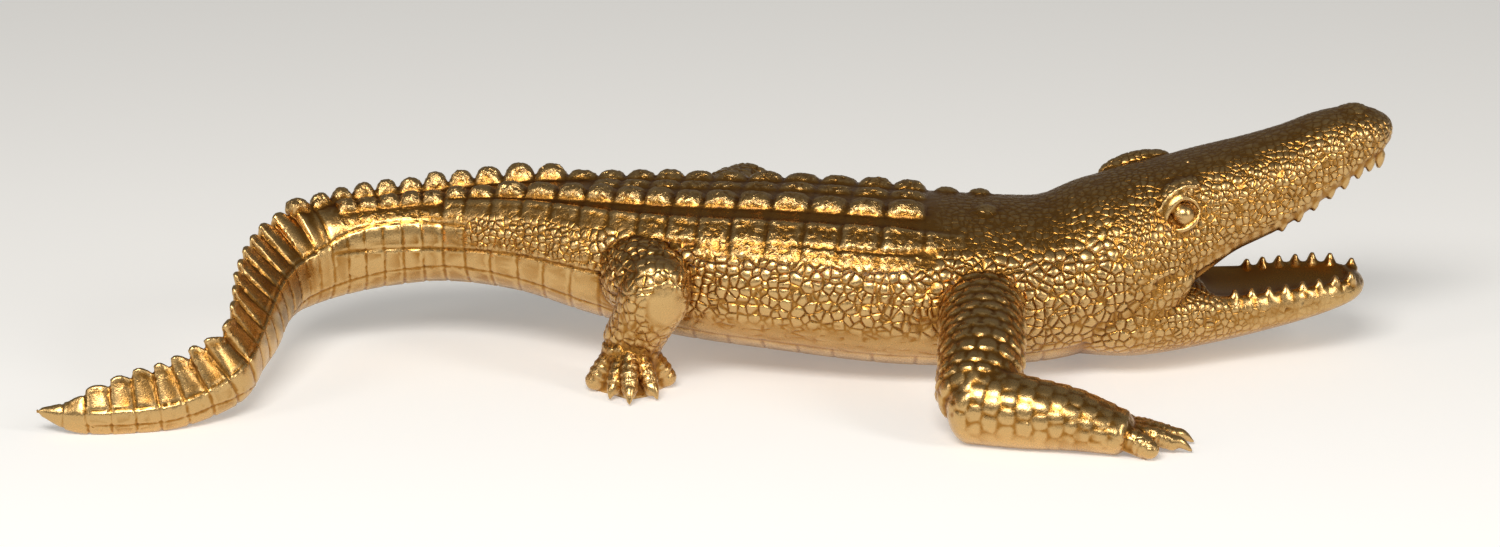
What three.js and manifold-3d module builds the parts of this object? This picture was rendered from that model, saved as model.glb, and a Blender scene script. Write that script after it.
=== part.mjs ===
// A crocodile cast in one piece: jaws open, head raised, tail swinging out in an S.
// Millimetres. +X runs towards the snout, +Y to the animal's left, +Z up.
// The origin is on the ground, below the middle of the bounding box.

import * as THREE from "three";
import { mergeVertices } from "three/addons/utils/BufferGeometryUtils.js";
import { ConvexGeometry } from "three/addons/geometries/ConvexGeometry.js";
import Module from "manifold-3d";

const wasm = await Module();
wasm.setup();

// Driving dimensions
const bodySides = 18; // points round the trunk and tail
const bodyRings = 47; // sections from tail tip to snout
const jawSides = 12;
const jawRings = 13;
const limbSides = 8;
const limbRings = 5;
const groundCut = 60; // depth of the block that trims the feet flat
const firstBlade = 26; // from the tail tip to the first blade, along the spine
const bladeStand = 5; // how far a blade's tip stands over the notch beside it
const eyeRadius = 4.5;

// Stations of the tail, trunk, neck, skull and upper jaw. "at" is the middle of a section,
// "half" its half width, "up" and "down" its heights, "crown" and "keel" how square it is
// above and below (2 is an ellipse), and "roll" its lean to the animal's left in degrees.
const spineStations = [
  { at: [-286, -105, 10.4], half: 0.8, up: 1, down: 1, crown: 1.6, keel: 2 },
  { at: [-272, -104.5, 10], half: 3.5, up: 4.5, down: 8.6, crown: 1.2, keel: 2.2 },
  { at: [-260, -104, 11], half: 4.8, up: 8.5, down: 11, crown: 1.1, keel: 2.3 },
  { at: [-246, -101, 11.4], half: 6, up: 12.5, down: 12, crown: 1, keel: 2.4 },
  { at: [-229, -96.5, 13], half: 7, up: 13.8, down: 12.8, crown: 0.95, keel: 2.4 },
  { at: [-213, -88, 18.5], half: 7.2, up: 14, down: 14.8, crown: 0.95, keel: 2.4, roll: 2 },
  { at: [-205, -79.5, 24.3], half: 7, up: 13.5, down: 17.5, crown: 0.95, keel: 2.4, roll: 4 },
  { at: [-202, -67, 29.5], half: 7.2, up: 15, down: 18.5, crown: 0.95, keel: 2.4, roll: 8 },
  { at: [-199.5, -48, 35], half: 8, up: 17.5, down: 20, crown: 0.95, keel: 2.4, roll: 16 },
  { at: [-197.5, -28, 40.5], half: 9.2, up: 17.5, down: 21, crown: 1, keel: 2.4, roll: 15 },
  { at: [-193, -9, 44.8], half: 11, up: 17, down: 23, crown: 1.05, keel: 2.4, roll: 11 },
  { at: [-184, 4, 47.3], half: 13, up: 17, down: 24, crown: 1.3, keel: 2.4, roll: 6 },
  { at: [-168, 14, 48.8], half: 15.5, up: 18, down: 23.2, crown: 2.2, keel: 2.3, roll: 2 },
  { at: [-145, 20, 50], half: 18.5, up: 18.6, down: 21.3, crown: 2.8, keel: 2.2 },
  { at: [-118, 21, 50.8], half: 21.5, up: 20, down: 20, crown: 2.8, keel: 2.2 },
  { at: [-82, 16, 51.5], half: 29, up: 24, down: 23.5, crown: 2.5, keel: 2.2 },
  { at: [-46, 10, 48.5], half: 39, up: 29, down: 29, crown: 2.3, keel: 2.2 },
  { at: [-10, 5, 45.5], half: 46.5, up: 32.5, down: 33, crown: 2.2, keel: 2.2 },
  { at: [40, -2, 44], half: 52, up: 34.5, down: 36.3, crown: 2.2, keel: 2.2 },
  { at: [85, -8, 41.5], half: 52, up: 35.5, down: 37.3, crown: 2.1, keel: 2.2 },
  { at: [125, -8, 39.5], half: 46.5, up: 36, down: 36.5, crown: 2, keel: 2.1 },
  { at: [152, -6, 42], half: 42.5, up: 34.5, down: 36, crown: 2, keel: 2.1 },
  { at: [176, -3, 51], half: 39, up: 34.5, down: 34, crown: 2, keel: 2.2 },
  { at: [197, 1, 62], half: 33, up: 28.5, down: 25.5, crown: 2.3, keel: 3 },
  { at: [216, 4, 72], half: 28, up: 22.5, down: 22, crown: 2.4, keel: 4 },
  { at: [238, 8, 80], half: 24.5, up: 19.5, down: 20, crown: 2.2, keel: 5 },
  { at: [257, 12, 88], half: 21, up: 16.5, down: 17.2, crown: 2.1, keel: 5 },
  { at: [272, 15, 95], half: 19, up: 14.5, down: 14.2, crown: 2.1, keel: 5 },
  { at: [284, 17.3, 99], half: 16.5, up: 12, down: 12, crown: 2, keel: 4 },
  { at: [293, 19, 99], half: 12, up: 9.5, down: 10, crown: 2, keel: 3 },
  { at: [297.8, 20, 97.5], half: 5.5, up: 5, down: 5.5, crown: 2, keel: 2 },
];

// Stations of the lower jaw, from inside the throat to the chin.
const jawStations = [
  { at: [142, -6, 32], half: 30, up: 14, down: 21, crown: 2, keel: 2 },
  { at: [160, -5, 29], half: 36, up: 17, down: 22, crown: 2, keel: 2.1 },
  { at: [180, -2, 26], half: 37.5, up: 20, down: 20.5, crown: 2.2, keel: 2.2 },
  { at: [200, 1, 25], half: 33.5, up: 18, down: 18.5, crown: 2.6, keel: 2.2 },
  { at: [218, 4, 24], half: 28, up: 13, down: 15.3, crown: 4, keel: 2.2 },
  { at: [240, 8, 25], half: 24.5, up: 10.5, down: 12.2, crown: 5, keel: 2.2 },
  { at: [260, 12, 27], half: 22.5, up: 9.5, down: 9.5, crown: 5, keel: 2.2 },
  { at: [276, 15.2, 29.5], half: 18.5, up: 7.5, down: 7.5, crown: 4, keel: 2.2 },
  { at: [284, 16.8, 31], half: 13, up: 5.5, down: 6, crown: 3, keel: 2 },
  { at: [288.5, 17.7, 32], half: 5, up: 2.5, down: 3, crown: 2, keel: 2 },
];
const mouthFloor = { from: 214, to: 278, depth: 8, rim: 4.2 }; // the trough inside the lower jaw

// Spacing of the rings of plates along the spine, by place along X.
const ringPitch = [
  [-190, 10],
  [-175, 9.3],
  [-150, 9.8],
  [-120, 11.3],
  [-95, 13.4],
  [-60, 12.8],
  [-35, 13.2],
  [-10, 15.2],
  [40, 16.1],
];

// Rows of raised scutes. "angle" is in degrees from the top of the back, "high" and "wide" are the
// scute's height and width, all by place along X. Side 1 is the animal's left and -1 its right.
// Both inner rows rise to a crest of paddles at the root of the tail.
const scuteRows = [
  { name: "middle", from: -62, to: 88, sides: [1], angle: [[0, 0]], high: [[-62, 2.2], [88, 3]], wide: [[0, 8]] },
  {
    name: "right inner",
    from: -172,
    to: 92,
    sides: [-1],
    angle: [[-170, 12], [-100, 14], [-30, 18]],
    high: [[-172, 3], [-100, 4.6], [-30, 4.4], [90, 4.4]],
    wide: [[-170, 8.5], [-100, 9], [-30, 12]],
  },
  {
    name: "left inner",
    from: -181,
    to: 92,
    sides: [1],
    angle: [[-180, 9], [-100, 15], [-30, 18]],
    high: [[-181, 6], [-150, 7.5], [-72, 8], [-64, 4.2], [90, 3.8]],
    wide: [[-180, 5.5], [-73, 8], [-30, 10]],
  },
  {
    name: "outer",
    from: -116,
    to: 100,
    sides: [-1, 1],
    angle: [[-116, 42], [-40, 47], [20, 45], [90, 43]],
    high: [[-116, 2], [-40, 2.4], [0, 3], [80, 3], [100, 1.4]],
    wide: [[-116, 12], [20, 14], [80, 14], [100, 9]],
  },
  { name: "flank", from: -8, to: 84, sides: [-1, 1], angle: [[0, 60]], high: [[0, 1.6]], wide: [[0, 7]] },
];
const scuteLong = 0.88; // of the ring's length
const nuchals = [
  { x: 100, side: 1, high: 2.6 },
  { x: 116, side: 1, high: 2.8 },
  { x: 117, side: -1, high: 1.8 },
]; // bumps on the neck, 15 degrees from the top

// Limbs as tubes with round ends. "wide" is measured level, "tall" across it.
const limbs = [
  // right arm: shoulder to elbow, elbow to wrist
  [
    { at: [113, -30, 42], wide: 17, tall: 15 },
    { at: [115, -60, 39], wide: 18, tall: 15.5 },
    { at: [113.6, -92, 30], wide: 18, tall: 16.4 },
    { at: [110.8, -111, 20], wide: 16.8, tall: 16.6 },
  ],
  [
    { at: [110.5, -113.5, 16.6], wide: 16.5, tall: 17.2 },
    { at: [130, -119.5, 14.8], wide: 15, tall: 15.3 },
    { at: [150, -123, 12.8], wide: 14, tall: 13 },
    { at: [169, -127, 8.8], wide: 12.5, tall: 9.4 },
  ],
  // left arm
  [
    { at: [112, 18, 42], wide: 17, tall: 15 },
    { at: [106, 44, 39], wide: 18, tall: 15.5 },
    { at: [97, 70, 30], wide: 18, tall: 16.4 },
    { at: [91, 87, 20], wide: 16.8, tall: 16.6 },
  ],
  [
    { at: [90.5, 89.5, 16.6], wide: 16.5, tall: 17.2 },
    { at: [106, 98, 14.8], wide: 15, tall: 15.3 },
    { at: [125, 104, 12.8], wide: 14, tall: 13 },
    { at: [143, 109, 8.8], wide: 12.5, tall: 9.4 },
  ],
  // right leg: thigh, shank
  [
    { at: [-35, -18, 46], wide: 17.5, tall: 18 },
    { at: [-29, -36, 47.5], wide: 17, tall: 17 },
    { at: [-25, -45, 48.5], wide: 15.5, tall: 15 },
  ],
  [
    { at: [-23.5, -50, 54], wide: 12.5, tall: 11 },
    { at: [-25.5, -51, 45], wide: 15, tall: 12.5 },
    { at: [-31.5, -46, 31], wide: 13.2, tall: 11 },
    { at: [-36, -42, 21], wide: 12.5, tall: 10 },
  ],
  // left leg
  [
    { at: [-2, 24, 49], wide: 19, tall: 21 },
    { at: [8, 48, 53], wide: 18.5, tall: 20.5 },
    { at: [15, 60, 55.5], wide: 16.5, tall: 17 },
  ],
  [
    { at: [17, 66, 55], wide: 14.5, tall: 11 },
    { at: [15, 65, 45], wide: 16.5, tall: 12.5 },
    { at: [11, 61, 31], wide: 13.5, tall: 11 },
    { at: [9, 58, 21], wide: 12.5, tall: 10 },
  ],
];

// Rows of teeth, from one X to another. "inset" and "reach" place a root in the lip, as parts of
// the section's half width and height, and "long" is how far a tooth stands out.
const toothRows = [
  { lip: "upper", side: -1, from: 240, to: 292, count: 8, rise: -1, inset: 0.8, reach: 0.75, long: 1.5 },
  { lip: "upper", side: 1, from: 240, to: 292, count: 8, rise: -1, inset: 0.8, reach: 0.75, long: 1.5 },
  { lip: "lower", side: -1, from: 225, to: 280, count: 8, rise: 1, inset: 0.82, reach: 0.7, long: 0.5 },
  { lip: "lower", side: 1, from: 243, to: 287, count: 7, rise: 1, inset: 0.82, reach: 0.7, long: 1.1 },
];
const toothStages = [
  [0, 2.8],
  [1, 1.2],
];

// Feet. "root" is the middle of the ankle or wrist, "heading" the way the foot points in degrees
// from +X, and each spread and length is one toe. Only clawed toes end in a point.
// "web" is how far the web reaches along clawed toes, and "instep" the height where toes leave the foot.
const hand = { size: [12, 9], web: 0.6, instep: 8.5 };
const hind = { size: [12.3, 9.5], web: 0.66, instep: 15 };
const feet = [
  { ...hand, root: [162, -125, 9.5], heading: -4, spread: [-29, -3, 14, 32, 54], long: [27, 36, 38, 33, 26] },
  { ...hand, root: [136, 107, 9.5], heading: 22, spread: [-48, -26, -8, 9, 35], long: [26, 33, 38, 36, 27] },
  { ...hind, root: [-36.5, -44, 21], heading: 268, spread: [-78, -25, 2, 36, 100], long: [18, 18, 23, 20, 18] },
  { ...hind, root: [9, 60, 21], heading: 66, spread: [-100, -36, -2, 25, 78], long: [18, 20, 23, 18, 18] },
];
const clawed = [false, true, true, true, false];
// A toe's radius at parts of its length.
const clawedToe = [
  [0, 4.5],
  [0.75, 4.3],
  [1, 0.7],
];
const roundToe = [
  [0, 5.2],
  [0.88, 5.1],
  [1, 3.4],
];
const outerWeb = 0.84; // how far the web reaches along the blunt outer toes

const up = new THREE.Vector3(0, 0, 1);
const outward = new THREE.Vector3(0, 1, 0);
const radians = THREE.MathUtils.degToRad;
const lerp = THREE.MathUtils.lerp;
const mapLinear = THREE.MathUtils.mapLinear;

// A closed three.js geometry as a solid.
function solidOf(geometry) {
  const bare = geometry.index ? geometry.toNonIndexed() : geometry.clone();
  bare.deleteAttribute("normal");
  bare.deleteAttribute("uv");
  const merged = mergeVertices(bare, 1e-4);
  return new wasm.Manifold(
    new wasm.Mesh({
      numProp: 3,
      vertProperties: merged.attributes.position.array,
      triVerts: new Uint32Array(merged.index.array),
    }),
  );
}

function curveThrough(stations, toVector) {
  return new THREE.CatmullRomCurve3(stations.map(toVector), false, "catmullrom", 0.5);
}

// A smooth path through stations. It gives the section at any place from 0 to 1.
function pathThrough(stations) {
  const line = curveThrough(stations, (s) => new THREE.Vector3(...s.at));
  const sizes = curveThrough(
    stations,
    (s) => new THREE.Vector3(s.half ?? s.wide, s.up ?? s.tall, s.down ?? s.tall),
  );
  const shapes = curveThrough(stations, (s) => new THREE.Vector3(s.crown ?? 2, s.keel ?? 2, s.roll ?? 0));
  line.arcLengthDivisions = 400;
  const chord = line.getPoint(1).sub(line.getPoint(0)).normalize();
  const steep = Math.abs(chord.z) > 0.8;
  const section = (place) => {
    const t = line.getUtoTmapping(place);
    const middle = line.getPoint(t);
    const along = line.getTangent(t);
    const size = sizes.getPoint(t);
    const shape = shapes.getPoint(t);
    const left = new THREE.Vector3().crossVectors(steep ? outward : up, along).normalize();
    const top = new THREE.Vector3().crossVectors(along, left);
    const roll = radians(shape.z);
    return {
      middle,
      along,
      left: left.clone().multiplyScalar(Math.cos(roll)).addScaledVector(top, -Math.sin(roll)),
      top: top.clone().multiplyScalar(Math.cos(roll)).addScaledVector(left, Math.sin(roll)),
      half: size.x,
      up: size.y,
      down: size.z,
      crown: shape.x,
      keel: shape.y,
    };
  };
  const places = Array.from({ length: 401 }, (_, i) => i / 400);
  const xs = places.map((place) => line.getPointAt(place).x);
  // The last place whose x is not past the one asked for.
  const placeOf = (x) => {
    const i = Math.max(1, xs.findIndex((value) => value >= x));
    return mapLinear(x, xs[i - 1], xs[i], places[i - 1], places[i]);
  };
  return { length: line.getLength(), section, placeOf };
}

// A point of a section's skin. The angle is 0 under the belly and half a turn on the back.
function skinPoint(s, angle) {
  const across = Math.sin(angle);
  const rise = -Math.cos(angle);
  const power = 2 / (rise > 0 ? s.crown : s.keel);
  const y = s.half * Math.sign(across) * Math.abs(across) ** power;
  const z = (rise > 0 ? s.up : s.down) * Math.sign(rise) * Math.abs(rise) ** power;
  return s.middle.clone().addScaledVector(s.left, y).addScaledVector(s.top, z);
}

// A section shrunk and moved along, for the rounded ends of tubes.
function shrunk(s, size, move) {
  const middle = s.middle.clone().addScaledVector(s.along, move * Math.min(s.half, s.up));
  return { ...s, middle, half: s.half * size, up: s.up * size, down: s.down * size };
}

// A closed skin over evenly spaced sections. Round ends bulge past the first and last.
function loft(path, rings, sides, round = false) {
  const sections = Array.from({ length: rings }, (_, i) => path.section(i / (rings - 1)));
  const reach = round ? 0.72 : 0;
  if (round) {
    sections.unshift(shrunk(sections[0], 0.74, -0.5));
    sections.push(shrunk(sections[rings], 0.74, 0.5));
  }
  const points = sections.flatMap((s) =>
    Array.from({ length: sides }, (_, j) => skinPoint(s, (j / sides) * Math.PI * 2)),
  );
  const first = points.push(shrunk(path.section(0), 1, -reach).middle) - 1;
  const last = points.push(shrunk(path.section(1), 1, reach).middle) - 1;
  const faces = [];
  const end = (sections.length - 1) * sides;
  for (let j = 0; j < sides; j++) {
    const k = (j + 1) % sides;
    for (let i = 0; i < end; i += sides) {
      faces.push(i + j, i + k, i + sides + k, i + j, i + sides + k, i + sides + j);
    }
    faces.push(first, k, j, last, end + j, end + k);
  }
  const geometry = new THREE.BufferGeometry().setFromPoints(points);
  geometry.setIndex(faces);
  return geometry;
}

// A rounded lump, tilted nose up by "tilt" degrees and then turned about Z.
function lump(at, size, turn = 0, tilt = 0) {
  const geometry = new THREE.SphereGeometry(1, 8, 5);
  geometry.rotateX(Math.PI / 2);
  geometry.scale(...size);
  geometry.rotateY(-radians(tilt));
  geometry.rotateZ(radians(turn));
  geometry.translate(...at);
  return geometry;
}

// A ring of points round an axis.
function ringOf(middle, axis, radius, sides) {
  const across = new THREE.Vector3().crossVectors(axis, Math.abs(axis.z) > 0.9 ? outward : up);
  across.normalize().multiplyScalar(radius);
  return Array.from({ length: sides }, (_, k) =>
    across.clone().applyAxisAngle(axis, ((k + 0.5) / sides) * Math.PI * 2).add(middle),
  );
}

// A toe, claw or tooth: the hull of rings, each at a part of the way with its radius.
function taper(from, to, stages, sides) {
  const axis = new THREE.Vector3().subVectors(to, from).normalize();
  const points = stages.flatMap(([part, radius]) =>
    ringOf(new THREE.Vector3().lerpVectors(from, to, part), axis, radius, sides),
  );
  return new ConvexGeometry(points);
}

// The hull of points given in a section's own axes: along, left and up from its middle.
function hullIn(s, corners) {
  const points = corners.map(([a, l, t]) =>
    s.middle.clone().addScaledVector(s.along, a).addScaledVector(s.left, l).addScaledVector(s.top, t),
  );
  return new ConvexGeometry(points);
}

const spine = pathThrough(spineStations);
const jaw = pathThrough(jawStations);

// A value that changes along X, from a list of places and values.
function valueAt(table, x) {
  const next = table.findIndex(([at]) => at > x);
  if (next < 0) return table.at(-1)[1];
  if (next === 0) return table[0][1];
  const [a, b] = [table[next - 1], table[next]];
  return mapLinear(x, a[0], b[0], a[1], b[1]);
}

// Every ring of plates from the tail tip to the shoulders.
function platedRings() {
  const rings = [];
  let along = firstBlade;
  for (;;) {
    const s = spine.section(along / spine.length);
    const pitch = valueAt(ringPitch, s.middle.x);
    if (s.middle.x > 95) return rings;
    rings.push({ ...s, pitch });
    along += pitch;
  }
}

// The single row of blades along the end of the tail, each leaning to the tail's tip.
function tailBlade(s, grow) {
  const tip = s.up + bladeStand * grow;
  const notch = s.up - 0.5;
  const w = s.pitch / 2;
  const corners = [];
  for (const side of [-1, 1]) {
    corners.push([-w * 0.96, side * s.half * 0.36, s.up * 0.3]);
    corners.push([w * 0.9, side * s.half * 0.36, s.up * 0.3]);
    corners.push([-w * 0.72, side * 0.8, tip]);
    corners.push([w * 0.1, side * 0.8, tip - 0.7]);
    corners.push([w * 0.9, side * 0.8, notch]);
  }
  return hullIn(s, corners);
}

// A keeled scute on the skin at an angle from the top of the back.
function scute(s, fromTop, long, wide, high) {
  const angle = Math.PI + radians(fromTop);
  const at = skinPoint(s, angle);
  const beside = skinPoint(s, angle + 0.05).sub(skinPoint(s, angle - 0.05)).normalize();
  const out = new THREE.Vector3().crossVectors(s.along, beside).normalize();
  if (out.dot(s.top) < 0) out.negate();
  const corner = (a, b, h) =>
    at.clone().addScaledVector(s.along, a * long).addScaledVector(beside, b * wide).addScaledVector(out, h);
  const points = [];
  for (const a of [-1, 1]) {
    for (const b of [-1, 1]) {
      points.push(corner(a * 0.5, b * 0.42, -1.5));
    }
    points.push(corner(a * 0.3, 0, high));
  }
  return new ConvexGeometry(points);
}

function scutesOn(s) {
  const { x } = s.middle;
  return scuteRows
    .filter((row) => x >= row.from && x <= row.to)
    .flatMap((row) => {
      const wide = Math.min(valueAt(row.wide, x), s.half * 0.5);
      const angle = valueAt(row.angle, x);
      const high = valueAt(row.high, x);
      return row.sides.map((side) => scute(s, side * -angle, s.pitch * scuteLong, wide, high));
    });
}

// Teeth stand in both lips. "rise" turns them up or down, and side 1 is the animal's left.
function teeth(path, { side, from, to, count, rise, inset, reach, long }) {
  const row = [];
  for (let i = 0; i < count; i++) {
    const s = path.section(path.placeOf(lerp(from, to, i / (count - 1))));
    const tall = long * (i % 3 === 1 ? 1.2 : 0.9);
    const height = (rise > 0 ? s.up : -s.down) * reach;
    const root = s.middle
      .clone()
      .addScaledVector(s.left, side * s.half * inset)
      .addScaledVector(s.top, height);
    const tip = root.clone().addScaledVector(up, rise * (tall + 3)).addScaledVector(s.left, side * 0.4);
    row.push(taper(root, tip, toothStages, 4));
  }
  return row;
}

// Toes spread from the ankle or wrist, with a web between them.
function foot({ root, size, heading, spread, long, web, instep }) {
  const from = new THREE.Vector3(...root);
  const middle = new THREE.Vector3(Math.cos(radians(heading)), Math.sin(radians(heading)), 0);
  const sideways = new THREE.Vector3(-middle.y, middle.x, 0);
  const pieces = [];
  const webbing = [];
  for (let k = 0; k < 8; k++) {
    const angle = (k / 8) * Math.PI * 2;
    webbing.push(
      from
        .clone()
        .addScaledVector(sideways, size[0] * Math.cos(angle))
        .addScaledVector(middle, size[1] * Math.sin(angle)),
    );
  }
  spread.forEach((turn, i) => {
    const angle = radians(heading + turn);
    const way = new THREE.Vector3(Math.cos(angle), Math.sin(angle), 0);
    const onGround = (part, z) => from.clone().addScaledVector(way, long[i] * part).setZ(z);
    const reach = clawed[i] ? web : outerWeb;
    webbing.push(onGround(reach, -0.6), onGround(reach * 0.86, clawed[i] ? 5.6 : 8));
    const stages = clawed[i] ? clawedToe : roundToe;
    const tip = clawed[i] ? onGround(1.06, 1.2) : onGround(0.97, 4.2);
    pieces.push(taper(onGround(0.24, instep), tip, stages, 6));
  });
  pieces.push(new ConvexGeometry(webbing));
  return pieces;
}

// The trough inside the lower jaw, open above.
function mouthTrough() {
  const stations = jawStations
    .filter((s) => s.at[0] >= mouthFloor.from && s.at[0] <= mouthFloor.to)
    .map((s) => ({
      at: [s.at[0], s.at[1], s.at[2] + s.up + 1],
      half: s.half - mouthFloor.rim,
      up: 6,
      down: mouthFloor.depth,
      keel: 2.4,
    }));
  return loft(pathThrough(stations), 6, 12, true);
}

function headDetails() {
  return [
    lump([201, -19, 80], [14, 6.5, 6.5], 14, 25), // right brow
    lump([187, 22, 82.5], [17, 6.5, 6.5], 6, 12), // left brow
    lump([184, -29, 34], [30, 10, 11], 7, 30), // right cheek, behind the corner of the mouth
    lump([184, 27, 34], [30, 10, 11], 8, 30), // left cheek
    lump([204, -27, 74.5], [eyeRadius, eyeRadius, eyeRadius]),
    lump([191, 31, 75.5], [eyeRadius, eyeRadius, eyeRadius]),
    lump([281, 17, 105.5], [10, 10, 6.5], 12, 12), // nostril mound
  ];
}

function crocodile() {
  let body = solidOf(loft(spine, bodyRings, bodySides));
  body = body.add(solidOf(loft(jaw, jawRings, jawSides)).subtract(solidOf(mouthTrough())));
  const pieces = limbs.map((stations) => loft(pathThrough(stations), limbRings, limbSides, true));
  pieces.push(...feet.flatMap(foot));
  platedRings().forEach((s, i) => {
    if (s.middle.x < -181) pieces.push(tailBlade(s, Math.min(1, 0.5 + i * 0.1)));
    pieces.push(...scutesOn(s));
  });
  for (const { x, side, high } of nuchals) {
    pieces.push(scute(spine.section(spine.placeOf(x)), side * -15, 9, 9, high));
  }
  for (const row of toothRows) pieces.push(...teeth(row.lip === "upper" ? spine : jaw, row));
  pieces.push(...headDetails());
  for (const piece of pieces) body = body.add(solidOf(piece));
  const ground = new THREE.BoxGeometry(800, 500, groundCut).translate(0, 0, -groundCut / 2);
  return body.subtract(solidOf(ground)).simplify(0.4);
}

function geometryOf(solid) {
  const mesh = solid.getMesh();
  const geometry = new THREE.BufferGeometry();
  geometry.setAttribute("position", new THREE.BufferAttribute(new Float32Array(mesh.vertProperties), 3));
  geometry.setIndex(new THREE.BufferAttribute(new Uint32Array(mesh.triVerts), 1));
  geometry.computeBoundingBox();
  const middle = geometry.boundingBox.getCenter(new THREE.Vector3());
  return geometry.translate(-middle.x, -middle.y, -geometry.boundingBox.min.z);
}

const gold = new THREE.MeshStandardMaterial({
  color: new THREE.Color(0.72, 0.49, 0.2),
  metalness: 1,
  roughness: 0.35,
});
const sculpture = new THREE.Group();
const croc = new THREE.Mesh(geometryOf(crocodile()), gold);
croc.name = "crocodile";
sculpture.add(croc);

export default sculpture;
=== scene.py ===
from math import cos, pi, radians, sin

import bmesh
import bpy
import numpy as np
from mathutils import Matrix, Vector
from mathutils.kdtree import KDTree


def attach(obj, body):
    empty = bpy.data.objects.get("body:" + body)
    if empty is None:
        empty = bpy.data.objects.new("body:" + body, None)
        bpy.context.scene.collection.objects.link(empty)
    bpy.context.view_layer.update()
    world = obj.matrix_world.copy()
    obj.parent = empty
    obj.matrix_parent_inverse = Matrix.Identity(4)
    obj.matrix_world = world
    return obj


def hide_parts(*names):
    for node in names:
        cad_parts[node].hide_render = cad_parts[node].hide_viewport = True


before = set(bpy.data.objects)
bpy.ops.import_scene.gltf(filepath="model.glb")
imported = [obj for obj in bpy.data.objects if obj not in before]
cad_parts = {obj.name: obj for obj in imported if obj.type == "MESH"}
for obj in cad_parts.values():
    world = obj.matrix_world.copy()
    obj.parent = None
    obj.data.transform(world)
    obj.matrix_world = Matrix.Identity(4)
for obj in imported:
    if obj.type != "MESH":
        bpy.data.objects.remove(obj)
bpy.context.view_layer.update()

scene = bpy.context.scene

# The animal is shaped in millimetres, in the place where its parts were first measured.
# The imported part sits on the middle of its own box, so everything shifts by this at the end.
boxMiddle = np.array([6.79, -5.59, 0])
up = np.array([0, 0, 1.0])


# Numbers, curves and sections

def unit(vectors):
    return vectors / np.maximum(np.linalg.norm(vectors, axis=-1, keepdims=True), 1e-9)


def ramp(value, low, high):  # 0 below low, 1 above high, smooth between
    t = np.clip((value - low) / (high - low), 0, 1)
    return t * t * (3 - 2 * t)


def window(value, low, high, soft):
    return ramp(value, low - soft, low + soft) * (1 - ramp(value, high - soft, high + soft))


def bell(value, width):
    return np.exp(-((value / width) ** 2))


def splineAt(points, t):  # a smooth curve through the points, from t = 0 to t = 1
    points = np.asarray(points, float)
    padded = np.vstack([2 * points[0] - points[1], points, 2 * points[-1] - points[-2]])
    place = np.clip(t, 0, 1) * (len(points) - 1)
    k = np.minimum(place.astype(int), len(points) - 2)
    w = (place - k)[:, None]
    a, b, c, d = (padded[k + i] for i in range(4))
    bend = (2 * a - 5 * b + 4 * c - d) * w**2 + (3 * b - a - 3 * c + d) * w**3
    return 0.5 * (2 * b + (c - a) * w + bend)


class Path:  # a smooth line through stations, with a section at any place along it
    def __init__(self, stations):
        self.stations = np.array(stations, float)
        self.t = np.linspace(0, 1, 1601)
        line = splineAt(self.stations[:, :3], self.t)
        steps = np.linalg.norm(np.diff(line, axis=0), axis=1)
        self.xs = line[:, 0]
        self.run = np.concatenate([[0], np.cumsum(steps)])
        self.length = self.run[-1]
        self.steep = abs(unit(line[-1] - line[0])[2]) > 0.8

    def sections(self, along):
        u = np.interp(along, self.run, self.t)
        v = splineAt(self.stations, u)
        ahead = splineAt(self.stations[:, :3], np.clip(u + 1e-4, 0, 1))
        behind = splineAt(self.stations[:, :3], np.clip(u - 1e-4, 0, 1))
        tangent = unit(ahead - behind)
        left = unit(np.cross(np.array([0, 1.0, 0]) if self.steep else up, tangent))
        top = np.cross(tangent, left)
        roll = np.radians(v[:, 8])[:, None]
        return {
            "middle": v[:, :3],
            "along": tangent,
            "left": left * np.cos(roll) - top * np.sin(roll),
            "top": top * np.cos(roll) + left * np.sin(roll),
            "half": v[:, 3],
            "up": v[:, 4],
            "down": v[:, 5],
            "crown": v[:, 6],
            "keel": v[:, 7],
        }

    def alongAt(self, x):
        return np.interp(x, self.xs, self.run)


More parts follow.
